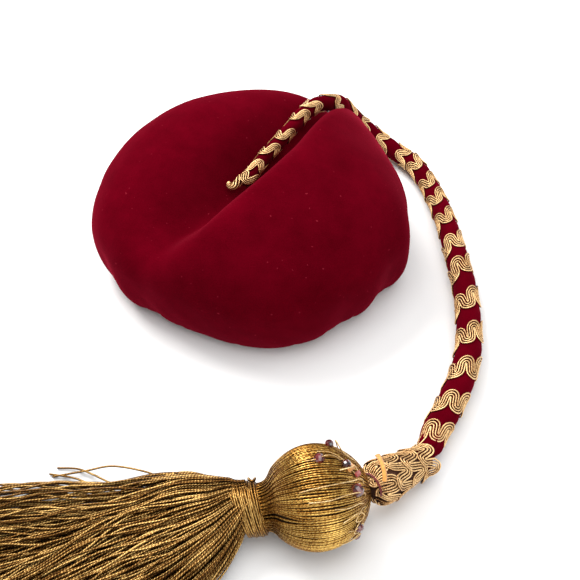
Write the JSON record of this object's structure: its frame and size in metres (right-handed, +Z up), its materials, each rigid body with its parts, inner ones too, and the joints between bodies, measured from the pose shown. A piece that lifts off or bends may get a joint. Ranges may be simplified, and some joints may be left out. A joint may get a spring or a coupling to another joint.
{
  "type": "fez hat",
  "caption": "Soft velvet fez hat with a deep fold across the crown, a braid-wound velvet stem and a thread tassel laid beside it.",
  "frame": {"origin": "centre of the crown's plan outline, on the surface that its hem rests on", "axes": "+Z up; +X to the right as the picture shows the hat; -Y towards the side where the tassel lies"},
  "size_m": [0.3218, 0.4607, 0.0943],
  "materials": {
    "velvet": "deep red cotton velvet, short pile",
    "gimp": "pale gold metal-wound gimp braid",
    "gold_thread": "twisted brown-gold metallic thread",
    "garnet": "dark red polished glass",
    "tape": "matt orange cotton tape"
  },
  "bodies": {
    "root": {"crown": "velvet", "stem": "velvet", "stem_braid": "gimp", "stem_tip": "gimp", "collar": "gimp", "tassel_ball": "gold_thread", "tassel_neck": "gold_thread", "tassel_skirt": "gold_thread", "bead_1": "garnet", "bead_2": "garnet", "bead_3": "garnet", "bead_4": "garnet", "bead_5": "garnet", "bead_6": "garnet", "bead_7": "garnet", "bead_8": "garnet", "loose_tape": "tape"}
  },
  "joints": []
}
